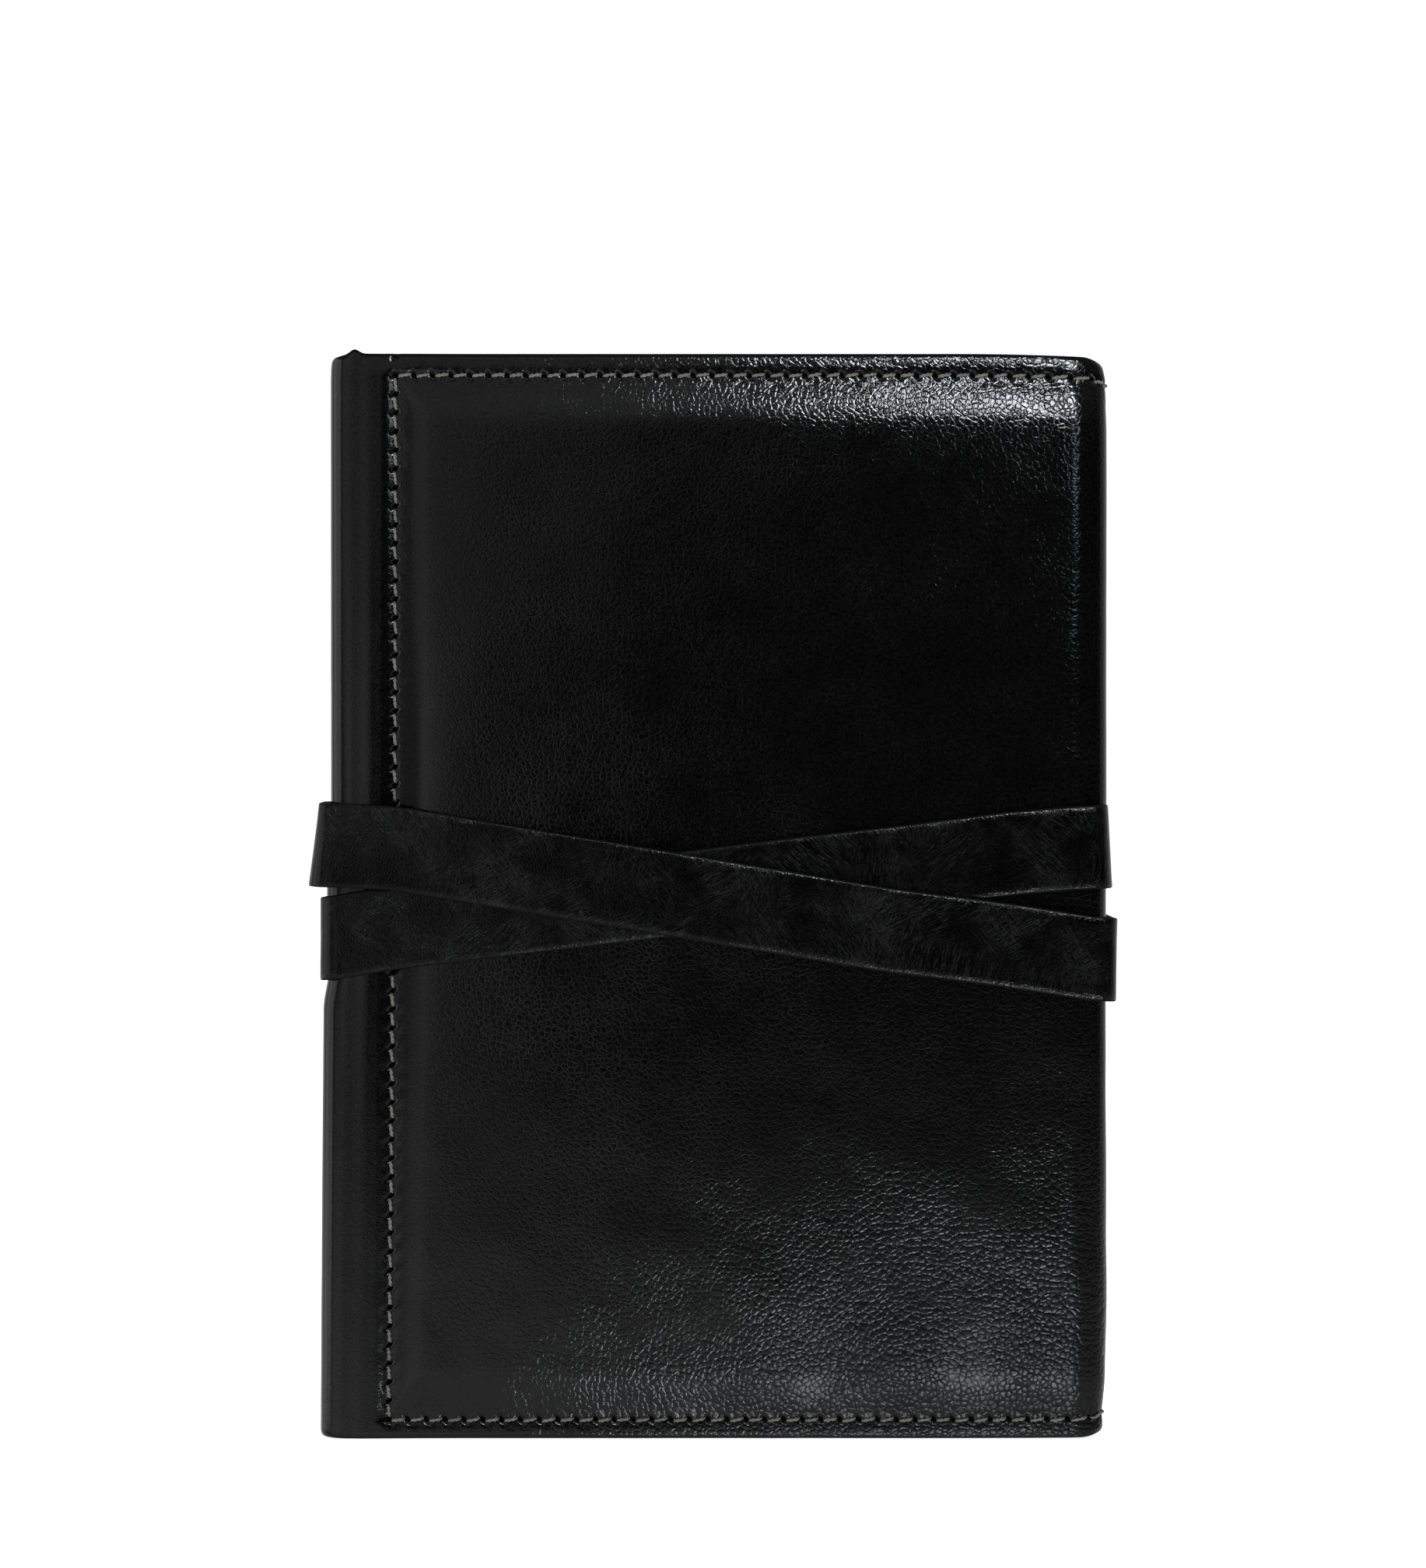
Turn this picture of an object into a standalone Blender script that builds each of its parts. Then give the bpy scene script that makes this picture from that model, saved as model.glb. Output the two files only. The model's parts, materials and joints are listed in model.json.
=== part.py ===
"""Leather notebook cover with a wrap strap, holding an A5 notebook.

Frame: +Z is the height of the book, -Y the front cover, -X the spine, +X the fore-edge.
The origin is the middle of the bottom edge.  Dimensions are in millimetres and become metres
when a piece is made.

The cover is one leather skin carried round the spine.  Each cover has a stiff board under a
raised panel, a recessed margin with a seam, and a sleeve made by folding the leather round
the fore-edge.  The notebook's own covers slip into the two sleeves.  A long strap is sewn on
the back, wound twice round the closed book so that it crosses on the front, and its end is
tucked under the pass on the back.
"""

import bmesh
import bpy
from math import cos, hypot, radians, sin
from mathutils import Vector

MM = 0.001

# overall size and clearance between neighbouring pieces
HEIGHT = 220.0
WIDTH = 157.0
THICKNESS = 26.0
HALF_W = WIDTH / 2
HALF_T = THICKNESS / 2
GAP = 0.3

# outer leather of a cover: a thin margin round a raised panel, folded round the fore-edge
MARGIN_LEATHER = 1.0
PANEL_RISE = 0.9
MARGIN_Y = HALF_T - PANEL_RISE
LEATHER_IN = MARGIN_Y - MARGIN_LEATHER
COVER_LEFT = -68.7
RISE_START = 2.2
RISE_LENGTH = 3.2
RISE_STEPS = 6
PANEL_RIGHT = 72.5
SLEEVE_LEATHER = 1.0
SLEEVE_IN = 5.3
SLEEVE_WIDTH = 60.0

# seam rows of a cover
SEAM_X = -65.7
SEAM_LOW = 3.8
SEAM_HIGH = 215.6
SEAM_END = 73.0
SEAM_CORNER = 1.2
THREAD_WIDTH = 0.8
THREAD_THICK = 0.45

# spine leather, folded at two corners
SPINE_RADIUS = 4.5
SPINE_LEATHER = 1.3
SPINE_Y = HALF_T - 0.2
SPINE_GROOVE = 2.4
FOLD_X = -HALF_W + SPINE_RADIUS
FOLD_Y = HALF_T - SPINE_RADIUS

# flat pieces inside a cover
BOARD = 1.2
BOARD_INSET = 3.0
BOARD_RIGHT = 71.0
LINING = 0.7
LINING_INSET = 1.0
LINING_LEFT = -70.5
LINING_RIGHT = 73.5
LINING_SPINE_HALF = 7.6

# the notebook
NOTE_COVER = 1.6
NOTE_HEIGHT = 210.0
NOTE_WIDTH = 147.0
NOTE_LEFT = -72.8
NOTE_SPINE = 1.2
NOTE_SPINE_HALF = 6.2
PAGE_HEIGHT = 208.0
PAGE_WIDTH = 143.0
PAGE_LEFT = -72.5
PAGE_MIDDLE = 0.15
PAGE_HALF = 5.0
PAGE_PIVOT_X = PAGE_LEFT - 0.5

# the strap, in two layers over the cover
STRAP_WIDTH = 17.0
STRAP_THICK = 1.2
STRAP_BEND = 3.0
LAYER_1 = GAP + STRAP_THICK / 2
LAYER_2 = LAYER_1 + STRAP_THICK + GAP
ROOT_START = 24.0
TAIL_END = 14.0
TIP_SHARE = 0.62
ROOT_STITCH_INSET = 3.0
ROOT_STITCH_LENGTH = 14.0

# heights of the strap's middle line at the sides of the book
Z_ROOT = 120.1
Z_SPINE_1 = 101.4
Z_FORE_2 = 97.2
Z_SPINE_2 = 120.8
Z_TAIL = 101.8


def material(name, colour, roughness):
    """One Principled material."""
    made = bpy.data.materials.new(name)
    made.use_nodes = True
    shader = next(n for n in made.node_tree.nodes if n.type == "BSDF_PRINCIPLED")
    shader.inputs["Base Color"].default_value = (*colour, 1.0)
    shader.inputs["Roughness"].default_value = roughness
    shader.inputs["Metallic"].default_value = 0.0
    made.diffuse_color = (*colour, 1.0)
    return made


def finish(name, shape, look, bevel=0.0, segments=2):
    """Turn a bmesh in millimetres into a named object in metres, its sharp edges bevelled."""
    bmesh.ops.recalc_face_normals(shape, faces=shape.faces)
    bmesh.ops.scale(shape, vec=(MM, MM, MM), verts=shape.verts)
    mesh = bpy.data.meshes.new(name)
    shape.to_mesh(mesh)
    shape.free()
    mesh.materials.append(look)
    mesh.shade_smooth()
    mesh.set_sharp_from_angle(angle=radians(35))
    made = bpy.data.objects.new(name, mesh)
    bpy.context.scene.collection.objects.link(made)
    if bevel:
        edges = made.modifiers.new("edges", "BEVEL")
        edges.width = bevel * MM
        edges.segments = segments
        edges.limit_method = "ANGLE"
        edges.angle_limit = radians(40)
    return made


def arc(centre, radius, start, end, steps):
    """Points on a circle, from one angle in degrees to another."""
    angles = [radians(start + (end - start) * i / steps) for i in range(steps + 1)]
    return [(centre[0] + radius * cos(a), centre[1] + radius * sin(a)) for a in angles]


def extruded(points, direction):
    """A closed flat outline, extruded into a solid."""
    shape = bmesh.new()
    face = shape.faces.new([shape.verts.new(p) for p in points])
    moved = bmesh.ops.extrude_face_region(shape, geom=[face])["geom"]
    far = [v for v in moved if isinstance(v, bmesh.types.BMVert)]
    bmesh.ops.translate(shape, vec=direction, verts=far)
    return shape


def sheet(name, look, x, y, z, corner=0.0, bevel=0.0):
    """A flat sheet standing upright; x, y and z are its limits, corner rounds its outline."""
    (x0, x1), (y0, y1), (z0, z1) = x, y, z
    outline = [(x1, z0), (x1, z1), (x0, z1), (x0, z0)]
    if corner:
        outline = (arc((x1 - corner, z0 + corner), corner, -90, 0, 6)
                   + arc((x1 - corner, z1 - corner), corner, 0, 90, 6)
                   + arc((x0 + corner, z1 - corner), corner, 90, 180, 6)
                   + arc((x0 + corner, z0 + corner), corner, 180, 270, 6))
    shape = extruded([(px, y0, pz) for px, pz in outline], (0, y1 - y0, 0))
    return finish(name, shape, look, bevel)


def bridge(shape, low, high):
    """Faces between two closed loops with the same number of vertices."""
    count = len(low)
    for i in range(count):
        following = (i + 1) % count
        shape.faces.new((low[i], low[following], high[following], high[i]))


def ease(t):
    """Smooth step from 0 to 1."""
    return t * t * (3 - 2 * t)


def raise_panel(shape, side):
    """Raise the padded panel out of the flat outer face of a cover's leather."""
    level = side * MARGIN_Y
    flat = [f for f in shape.faces if all(abs(v.co.y - level) < 1e-4 for v in f.verts)]
    face = max(flat, key=lambda f: f.calc_area())
    ring = [loop.vert for loop in face.loops]
    bmesh.ops.delete(shape, geom=[face], context="FACES_ONLY")
    for i in range(RISE_STEPS + 1):
        share = i / RISE_STEPS
        inset = RISE_START + RISE_LENGTH * share
        y = side * (MARGIN_Y + PANEL_RISE * ease(share))
        risen = []
        for vert in ring:
            x = SEAM_X + inset if vert.co.x < 0 else PANEL_RIGHT - RISE_LENGTH * share
            z = SEAM_LOW + inset if vert.co.z < HEIGHT / 2 else SEAM_HIGH - inset
            risen.append(shape.verts.new((x, y, z)))
        bridge(shape, ring, risen)
        ring = risen
    shape.faces.new(ring)


def cover_leather(name, look, side):
    """Outer leather of one cover; side is -1 for the front and +1 for the back."""
    fold = (MARGIN_Y - SLEEVE_IN) / 2
    centre = (HALF_W - fold, SLEEVE_IN + fold)
    flap_end = HALF_W - SLEEVE_WIDTH
    outline = [(COVER_LEFT, MARGIN_Y)]
    outline += arc(centre, fold, 90, -90, 10)
    outline += [(flap_end, SLEEVE_IN), (flap_end, SLEEVE_IN + SLEEVE_LEATHER)]
    outline += arc(centre, fold - SLEEVE_LEATHER, -90, 90, 10)
    outline += [(COVER_LEFT, LEATHER_IN)]
    shape = extruded([(x, side * y, 0) for x, y in outline], (0, 0, HEIGHT))
    raise_panel(shape, side)
    return finish(name, shape, look, bevel=0.25)


def spine_leather(name, look):
    """Leather rolled round the spine, from cover to cover."""
    end = COVER_LEFT - GAP
    centre_y = SPINE_Y - SPINE_RADIUS
    inner_radius = SPINE_RADIUS - SPINE_LEATHER
    groove = [(end, MARGIN_Y), (end - SPINE_GROOVE / 2, (2 * SPINE_Y + MARGIN_Y) / 3),
              (end - SPINE_GROOVE, SPINE_Y)]
    outline = list(groove)
    outline += arc((FOLD_X, centre_y), SPINE_RADIUS, 90, 180, 8)
    outline += arc((FOLD_X, -centre_y), SPINE_RADIUS, 180, 270, 8)
    outline += [(x, -y) for x, y in reversed(groove)]
    outline += [(end, -SPINE_Y + SPINE_LEATHER)]
    outline += arc((FOLD_X, -centre_y), inner_radius, 270, 180, 8)
    outline += arc((FOLD_X, centre_y), inner_radius, 180, 90, 8)
    outline += [(end, SPINE_Y - SPINE_LEATHER)]
    shape = extruded([(x, y, 0) for x, y in outline], (0, 0, HEIGHT))
    return finish(name, shape, look, bevel=0.2)


def swept(name, look, sections, closed=False, bevel=0.0):
    """A solid through a row of four-cornered sections, open ended or closed on itself."""
    shape = bmesh.new()
    rings = [[shape.verts.new(corner) for corner in section] for section in sections]
    for ring, following in zip(rings, rings[1:]):
        bridge(shape, ring, following)
    if closed:
        bridge(shape, rings[-1], rings[0])
    else:
        shape.faces.new(rings[0])
        shape.faces.new(rings[-1])
    return finish(name, shape, look, bevel, segments=1)


def mitre(points, closed=False):
    """Unit normals of a path in its plane, stretched at the corners so that the width holds."""
    count = len(points)
    normals = []
    for i in range(count):
        total = Vector((0, 0))
        for a in (i - 1, i):
            if not closed and not 0 <= a < count - 1:
                continue
            step = Vector(points[(a + 1) % count]) - Vector(points[a % count])
            total += Vector((-step.y, step.x)).normalized()
        total.normalize()
        first = Vector(points[(i + 1) % count]) - Vector(points[i])
        if not closed and i == count - 1:
            first = Vector(points[i]) - Vector(points[i - 1])
        across = Vector((-first.y, first.x)).normalized()
        normals.append(total / total.dot(across))
    return normals


def cord(name, look, path, levels, closed=False):
    """A flat thread along a path in the plane of a cover, between two levels of y."""
    half = THREAD_WIDTH / 2
    near, far = levels
    sections = []
    for (x, z), normal in zip(path, mitre(path, closed)):
        dx, dz = normal * half
        sections.append([(x - dx, near, z - dz), (x + dx, near, z + dz),
                         (x + dx, far, z + dz), (x - dx, far, z - dz)])
    return swept(name, look, sections, closed)


def seam(name, look, side):
    """The seam thread of one cover: bottom row, spine-side row and top row."""
    r = SEAM_CORNER
    path = [(SEAM_END, SEAM_LOW)]
    path += arc((SEAM_X + r, SEAM_LOW + r), r, 270, 180, 3)
    path += arc((SEAM_X + r, SEAM_HIGH - r), r, 180, 90, 3)
    path += [(SEAM_END, SEAM_HIGH)]
    near = MARGIN_Y + GAP
    return cord(name, look, path, (side * near, side * (near + THREAD_THICK)))


def strap_piece(name, look, path, z_start, z_end, tip=1.0):
    """A piece of strap along a path in plan, its middle line running between two heights."""
    last = len(path) - 1
    sections = []
    for i, ((x, y), normal) in enumerate(zip(path, mitre(path))):
        nx, ny = normal * STRAP_THICK / 2
        half = STRAP_WIDTH / 2 * (tip if i == last else 1.0)
        z = z_start + (z_end - z_start) * i / last
        sections.append([(x - nx, y - ny, z - half), (x + nx, y + ny, z - half),
                         (x + nx, y + ny, z + half), (x - nx, y - ny, z + half)])
    return swept(name, look, sections, bevel=0.2)


def turn(x, y_in, y_out):
    """Path of the strap round one side of the book: a bend, a short straight and a bend."""
    out = 1 if x > 0 else -1
    way = 1 if y_in > 0 else -1
    outward = 0 if out > 0 else 180 * way
    middle = x - out * STRAP_BEND
    into = arc((middle, y_in - way * STRAP_BEND), STRAP_BEND, way * 90, outward, 5)
    away = arc((middle, y_out + way * STRAP_BEND), STRAP_BEND, -outward, -way * 90, 5)
    return into + away


def run(x0, x1, y, steps=1):
    """Path of the strap along one face of the book."""
    return [(x0 + (x1 - x0) * i / steps, y) for i in range(steps + 1)]


def pivot(name, x, y, parent=None):
    """An empty on an upright joint axis, under the empty of the joint before it."""
    made = bpy.data.objects.new(name, None)
    made.empty_display_size = 10 * MM
    made.location = Vector((x, y, HEIGHT / 2)) * MM
    if parent:
        made.location -= place_of(parent)
        made.parent = parent
    bpy.context.scene.collection.objects.link(made)
    return made


def place_of(empty):
    """Where an empty stands, adding up the empties above it."""
    return empty.location + (place_of(empty.parent) if empty.parent else Vector())


def hang(piece, empty):
    """Parent a piece to a joint's empty without moving it."""
    piece.parent = empty
    piece.location = -place_of(empty)


def build_cover(side, label, pages_name, looks):
    """One cover and what it holds: leather, seam, board, lining, notebook cover and pages."""
    level = LEATHER_IN - GAP
    board = sheet(f"{label}_board", looks["board"], (SEAM_X + BOARD_INSET, BOARD_RIGHT),
                  (side * level, side * (level - BOARD)),
                  (SEAM_LOW + BOARD_INSET, SEAM_HIGH - BOARD_INSET), corner=3.0)
    level -= BOARD + GAP
    lining = sheet(f"{label}_lining", looks["lining"], (LINING_LEFT, LINING_RIGHT),
                   (side * level, side * (level - LINING)),
                   (LINING_INSET, HEIGHT - LINING_INSET), corner=1.5)
    level -= LINING + GAP
    low = (HEIGHT - NOTE_HEIGHT) / 2
    held = sheet(f"insert_{label}_cover", looks["card"], (NOTE_LEFT, NOTE_LEFT + NOTE_WIDTH),
                 (side * level, side * (level - NOTE_COVER)), (low, low + NOTE_HEIGHT),
                 corner=4.0, bevel=0.3)
    low = (HEIGHT - PAGE_HEIGHT) / 2
    pages = sheet(pages_name, looks["paper"], (PAGE_LEFT, PAGE_LEFT + PAGE_WIDTH),
                  (side * PAGE_MIDDLE, side * PAGE_HALF), (low, low + PAGE_HEIGHT), bevel=0.2)
    leather = cover_leather(f"{label}_panel_leather", looks["leather"], side)
    thread = seam(f"{label}_seam_thread", looks["thread"], side)
    return [leather, thread, board, lining, held], pages


def build_spine(looks):
    """The rolled leather, its lining and the notebook's own spine."""
    low, high = (HEIGHT - NOTE_HEIGHT) / 2, (HEIGHT + NOTE_HEIGHT) / 2
    x = -HALF_W + SPINE_LEATHER + GAP
    lining = sheet("spine_lining", looks["lining"], (x, x + LINING),
                   (-LINING_SPINE_HALF, LINING_SPINE_HALF),
                   (LINING_INSET, HEIGHT - LINING_INSET))
    x += LINING + GAP
    spine = sheet("insert_spine", looks["card"], (x, x + NOTE_SPINE),
                  (-NOTE_SPINE_HALF, NOTE_SPINE_HALF), (low, high), bevel=0.25)
    return [spine_leather("spine_leather", looks["leather"]), lining, spine]


def build_strap(looks, back):
    """The strap in nine pieces, from its sewn root to its tucked tail."""
    side_1, side_2 = HALF_W + LAYER_1, HALF_W + LAYER_2
    face_1, face_2 = HALF_T + LAYER_1, HALF_T + LAYER_2
    clear = STRAP_BEND + GAP
    corners = ((side_1, face_1), (side_1, -face_1), (-side_1, -face_1), (-side_1, face_2),
               (side_2, face_2), (side_2, -face_2), (-side_2, -face_2), (-side_2, face_1))
    pieces = (
        ("strap_root", run(ROOT_START, side_1 - clear, face_1), Z_ROOT, Z_ROOT),
        ("strap_fore_turn_1", turn(side_1, face_1, -face_1), Z_ROOT, Z_ROOT),
        ("strap_front_pass_1", run(side_1 - clear, clear - side_1, -face_1), Z_ROOT, Z_SPINE_1),
        ("strap_spine_turn_1", turn(-side_1, -face_1, face_2), Z_SPINE_1, Z_SPINE_1),
        ("strap_back_pass", run(clear - side_1, side_2 - clear, face_2), Z_SPINE_1, Z_FORE_2),
        ("strap_fore_turn_2", turn(side_2, face_2, -face_2), Z_FORE_2, Z_FORE_2),
        ("strap_front_pass_2", run(side_2 - clear, clear - side_2, -face_2), Z_FORE_2, Z_SPINE_2),
        ("strap_spine_turn_2", turn(-side_2, -face_2, face_1), Z_SPINE_2, Z_SPINE_2),
        ("strap_tail", run(clear - side_2, TAIL_END, face_1, steps=4), Z_SPINE_2, Z_TAIL),
    )
    parent = back
    for i, (name, path, z_start, z_end) in enumerate(pieces):
        if i:
            parent = pivot(f"strap_pivot_{i}", *corners[i - 1], parent)
        tip = TIP_SHARE if name == "strap_tail" else 1.0
        hang(strap_piece(name, looks["strap"], path, z_start, z_end, tip), parent)

    # box stitch that holds the root to the back cover
    x0 = ROOT_START + ROOT_STITCH_INSET
    x1 = x0 + ROOT_STITCH_LENGTH
    half = STRAP_WIDTH / 2 - ROOT_STITCH_INSET
    z0, z1 = Z_ROOT - half, Z_ROOT + half
    near = face_1 + STRAP_THICK / 2 + GAP
    box = cord("strap_root_thread", looks["thread"], [(x0, z0), (x1, z0), (x1, z1), (x0, z1)],
               (near, near + THREAD_THICK), closed=True)
    hang(box, back)


def main():
    """Build the whole cover, closed, with the strap wound."""
    for old in list(bpy.data.objects):
        bpy.data.objects.remove(old, do_unlink=True)

    looks = {
        "leather": material("cover_leather", (0.012, 0.012, 0.013), 0.32),
        "strap": material("strap_leather", (0.016, 0.016, 0.017), 0.55),
        "board": material("grey_board", (0.32, 0.31, 0.29), 0.85),
        "lining": material("lining_cloth", (0.03, 0.03, 0.032), 0.8),
        "thread": material("seam_thread", (0.26, 0.25, 0.21), 0.6),
        "card": material("notebook_card", (0.05, 0.05, 0.055), 0.6),
        "paper": material("page_paper", (0.82, 0.78, 0.68), 0.9),
    }
    back = pivot("back_cover", 0, 0)
    spine = pivot("spine_fold_pivot", FOLD_X, FOLD_Y, back)
    front = pivot("front_fold_pivot", FOLD_X, -FOLD_Y, spine)
    leaves = pivot("page_pivot", PAGE_PIVOT_X, 0, back)

    for side, label, pages_name, empty, page_empty in (
            (-1, "front", "insert_front_pages", front, leaves),
            (1, "back", "insert_rear_pages", back, back)):
        pieces, pages = build_cover(side, label, pages_name, looks)
        for piece in pieces:
            hang(piece, empty)
        hang(pages, page_empty)
    for piece in build_spine(looks):
        hang(piece, spine)
    build_strap(looks, back)


main()
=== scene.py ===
"""Visual model of a black leather notebook cover with a wrap strap.

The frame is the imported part: +Z is the height of the book, -Y the front cover, -X the spine
and +X the fore-edge.  Shapes are worked out in millimetres and become metres when a mesh is
made.  Every texture coordinate is in millimetres along the surface.
"""

import json
from math import cos, pi, radians, sin

import bmesh
import bpy
import numpy as np
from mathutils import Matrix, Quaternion, Vector


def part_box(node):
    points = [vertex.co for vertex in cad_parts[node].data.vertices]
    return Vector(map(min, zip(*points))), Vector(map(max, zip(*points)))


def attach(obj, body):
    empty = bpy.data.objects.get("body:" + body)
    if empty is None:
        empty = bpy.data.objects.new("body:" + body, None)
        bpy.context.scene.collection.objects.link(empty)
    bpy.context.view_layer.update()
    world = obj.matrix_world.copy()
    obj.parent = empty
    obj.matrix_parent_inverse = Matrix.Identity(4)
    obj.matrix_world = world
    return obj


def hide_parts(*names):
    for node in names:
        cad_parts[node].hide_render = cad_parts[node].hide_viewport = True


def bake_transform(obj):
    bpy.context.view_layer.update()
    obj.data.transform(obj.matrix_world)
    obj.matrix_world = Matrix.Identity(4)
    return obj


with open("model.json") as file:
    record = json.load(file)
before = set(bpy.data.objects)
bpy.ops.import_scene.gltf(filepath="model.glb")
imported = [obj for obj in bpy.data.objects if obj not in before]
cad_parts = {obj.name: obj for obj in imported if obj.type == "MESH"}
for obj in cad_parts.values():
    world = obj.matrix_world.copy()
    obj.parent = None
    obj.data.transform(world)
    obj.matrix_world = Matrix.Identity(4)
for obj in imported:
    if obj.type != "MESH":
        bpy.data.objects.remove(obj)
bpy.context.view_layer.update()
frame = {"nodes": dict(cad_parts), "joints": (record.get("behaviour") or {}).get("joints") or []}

MM = 0.001


def node_box(name):
    """Lowest and highest corner of a CAD node, in millimetres."""
    low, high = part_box(name)
    return np.array(low) / MM, np.array(high) / MM


def joint_place(name):
    """Where a joint's axis stands, in millimetres."""
    return np.array(next(j for j in frame["joints"] if j["name"] == name)["pos_m"]) / MM


# sizes read from the frame
PANEL_LOW, PANEL_HIGH = node_box("front_panel_leather")
SEAM_LOW_CORNER, SEAM_HIGH_CORNER = node_box("front_seam_thread")
HEIGHT = PANEL_HIGH[2]
EDGE_X = PANEL_HIGH[0]
SPINE_X = node_box("spine_leather")[0][0]
PANEL_Y = -PANEL_LOW[1]
FLAP_Y = -PANEL_HIGH[1]
FOLD_X, FOLD_Y = joint_place("cover_open")[:2]
STRAP_JOINTS = [joint_place(f"strap_bend_{n}") for n in range(1, 9)]

# the leather, measured outwards from its margin level
RISE = 1.4
LEATHER = 1.0
MARGIN_Y = PANEL_Y - RISE
CORNER_R = MARGIN_Y - FOLD_Y
FORE_R = (MARGIN_Y - FLAP_Y) / 2
FORE_REACH = 7.2
FORE_X = EDGE_X - FORE_REACH
FLAP_END_X = 19.0

# how the soft cover is pushed out of square: (height, shift of the seam, shift of the spine)
LEAN = ((0, -0.5, -2.1), (60, 0.1, -1.7), (88, 0.3, -1.5), (94, 0.4, -0.4), (106, 0.6, -0.4),
        (111, 0.7, -0.9), (115, 0.8, 0.1), (220, 0.9, 0.0))

# distances along the leather, from the middle of the spine to the end of the sleeve flap
S_CORNER = FOLD_Y
S_FRONT = S_CORNER + CORNER_R * pi / 2
S_FORE = S_FRONT + FORE_X - FOLD_X
S_FLAP = S_FORE + pi * ((FORE_REACH ** 2 + FORE_R ** 2) / 2) ** 0.5
S_END = S_FLAP + FORE_X - FLAP_END_X

# seam: its rows run along the middle of the CAD's thread
THREAD_HALF = 0.4
PITCH = 3.8
SEAM_X = SEAM_LOW_CORNER[0] + THREAD_HALF
SEAM_LOW = SEAM_LOW_CORNER[2] + THREAD_HALF
SEAM_HIGH = SEAM_HIGH_CORNER[2] - THREAD_HALF
UPRIGHT_PITCH = (SEAM_HIGH - SEAM_LOW) / round((SEAM_HIGH - SEAM_LOW) / PITCH)
S_SEAM = S_FRONT + SEAM_X - FOLD_X
S_BAND = S_FRONT + 2.8


# ---- helpers

def smooth(t):
    """Smooth step from 0 to 1."""
    t = np.clip(t, 0.0, 1.0)
    return t * t * (3 - 2 * t)


def soft_noise(u, v, cell, seed):
    """Smooth noise between -1 and 1 whose bumps are about one cell apart."""
    table = np.random.RandomState(seed).uniform(-1, 1, (64, 64))
    x, y = np.asarray(u, float) / cell, np.asarray(v, float) / cell
    i, j = np.floor(x).astype(int), np.floor(y).astype(int)
    f, g = smooth(x - i), smooth(y - j)
    low = table[i % 64, j % 64] * (1 - f) + table[(i + 1) % 64, j % 64] * f
    high = table[i % 64, (j + 1) % 64] * (1 - f) + table[(i + 1) % 64, (j + 1) % 64] * f
    return low * (1 - g) + high * g


def soften(values, width):
    """Running mean over an odd number of values."""
    return np.convolve(np.pad(values, width // 2, mode="edge"), np.ones(width) / width, "valid")


def ridges(u, v, cell, seed):
    """Thin crease lines, 1 on the line and 0 away from it."""
    return np.clip(1 - 4 * np.abs(soft_noise(u, v, cell, seed)), 0, 1) ** 2


def skewed(points):
    """Push the spine side out of square, as the soft cover is."""
    points = np.array(points, float)
    heights, seam, spine = np.array(LEAN).T
    seam = np.interp(points[:, 2], heights, seam)
    spine = np.interp(points[:, 2], heights, spine)
    inwards = smooth((points[:, 0] - SPINE_X) / (SEAM_X - SPINE_X))
    across = np.clip((EDGE_X - points[:, 0]) / (EDGE_X - SEAM_X), 0, 1)
    points[:, 0] += (spine * (1 - inwards) + seam * inwards) * across
    return points


def make_object(name, points, faces, materials, uvs=None, slots=None, sharp=40):
    """A named mesh object from points in millimetres; its normals point outwards."""
    mesh = bpy.data.meshes.new(name)
    mesh.from_pydata((np.asarray(points) * MM).tolist(), [], faces)
    if slots is not None:
        mesh.polygons.foreach_set("material_index", np.asarray(slots, np.int32))
    if uvs is not None:
        corner = np.zeros(len(mesh.loops), np.int32)
        mesh.loops.foreach_get("vertex_index", corner)
        layer = mesh.uv_layers.new(name="UVMap")
        layer.data.foreach_set("uv", np.asarray(uvs, np.float32)[corner].ravel())
    shape = bmesh.new()
    shape.from_mesh(mesh)
    bmesh.ops.recalc_face_normals(shape, faces=shape.faces)
    shape.to_mesh(mesh)
    shape.free()
    mesh.shade_smooth()
    mesh.set_sharp_from_angle(angle=radians(sharp))
    for look in materials:
        mesh.materials.append(look)
    made = bpy.data.objects.new(name, mesh)
    bpy.context.scene.collection.objects.link(made)
    return made


def lofted(rings):
    """A capped solid through rings of equal size; returns its points and its faces."""
    count = len(rings[0])
    faces = []
    for r in range(len(rings) - 1):
        for k in range(count):
            a, b = r * count + k, r * count + (k + 1) % count
            faces.append((a, b, b + count, a + count))
    faces.append(tuple(range(count)))
    last = (len(rings) - 1) * count
    faces.append(tuple(range(last, last + count)))
    return np.concatenate(rings), faces


# ---- materials

class Nodes:
    """A node tree under construction."""

    def __init__(self, tree):
        self.tree = tree

    def node(self, kind, inputs=None, **settings):
        """Any node, its inputs given as values or as sockets to link."""
        made = self.tree.nodes.new(kind)
        for key, value in settings.items():
            setattr(made, key, value)
        for key, value in (inputs or {}).items():
            self.feed(made.inputs[key], value)
        return made

    def feed(self, socket, value):
        """Set an input, or link it."""
        if isinstance(value, bpy.types.NodeSocket):
            self.tree.links.new(value, socket)
        else:
            socket.default_value = value

    def span(self, value, low, high, to_low=0.0, to_high=1.0):
        """Map a range to another, clamped."""
        return self.node("ShaderNodeMapRange", {
            "Value": value, "From Min": low, "From Max": high, "To Min": to_low,
            "To Max": to_high}).outputs["Result"]

    def math(self, operation, a, b=0.0):
        """Arithmetic on two values."""
        return self.node("ShaderNodeMath", {0: a, 1: b}, operation=operation).outputs[0]


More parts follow.
